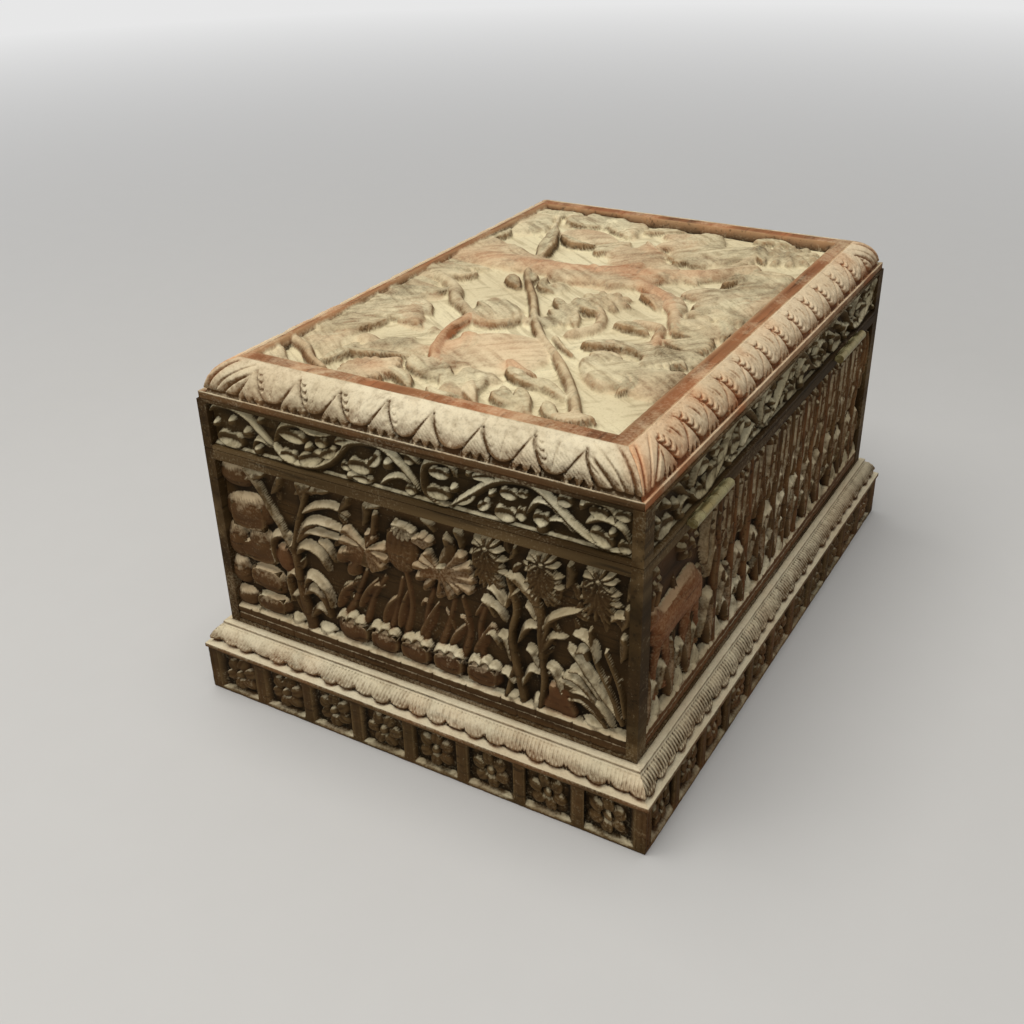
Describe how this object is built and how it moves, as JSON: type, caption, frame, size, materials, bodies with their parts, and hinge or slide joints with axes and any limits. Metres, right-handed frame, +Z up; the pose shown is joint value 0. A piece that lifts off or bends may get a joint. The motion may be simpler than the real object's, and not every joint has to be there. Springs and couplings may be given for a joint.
{
  "type": "carved wooden box",
  "caption": "Rectangular carved hardwood box with a hinged lid, leaf-carved lid moulding, carved panels and a rosette plinth.",
  "frame": {"origin": "centre of the plinth's underside, on the surface that the box stands on", "axes": "+X along the long side, +Y towards the hinged back, +Z up"},
  "size_m": [0.3206, 0.2326, 0.1687],
  "materials": {
    "dark_wood": "dark hardwood, worn, with pale dust in the carving",
    "dusty_wood": "dark hardwood under thick pale dust",
    "plain_wood": "plain planed hardwood",
    "brass": "dull brass with a green tarnish",
    "iron": "dark iron nails"
  },
  "bodies": {
    "box": {"plinth_front": "dark_wood", "base_moulding_front": "dusty_wood", "body_front": "dark_wood", "plinth_back": "dark_wood", "base_moulding_back": "dusty_wood", "body_back": "dark_wood", "plinth_right_end": "dark_wood", "base_moulding_right_end": "dusty_wood", "body_right_end": "dark_wood", "plinth_left_end": "dark_wood", "base_moulding_left_end": "dusty_wood", "body_left_end": "dark_wood", "bottom_board": "plain_wood", "bottom_board_nails": "iron", "hinge_right_body_leaf": "brass", "hinge_right_pin": "brass", "hinge_left_body_leaf": "brass", "hinge_left_pin": "brass", "hinge_body_screws": "brass"},
    "lid": {"lid_front": "dark_wood", "lid_back": "dark_wood", "lid_right_end": "dark_wood", "lid_left_end": "dark_wood", "lid_moulding_front": "dusty_wood", "lid_moulding_back": "dusty_wood", "lid_moulding_right_end": "dusty_wood", "lid_moulding_left_end": "dusty_wood", "lid_panel": "dusty_wood", "hinge_right_lid_leaf": "brass", "hinge_left_lid_leaf": "brass", "hinge_lid_screws": "brass"}
  },
  "joints": [
    {"name": "lid_hinge", "type": "hinge", "parent": "box", "child": "lid", "pos_m": [0, 0.1084, 0.1284], "axis": [-1, 0, 0], "range_deg": [0, 180]}
  ]
}
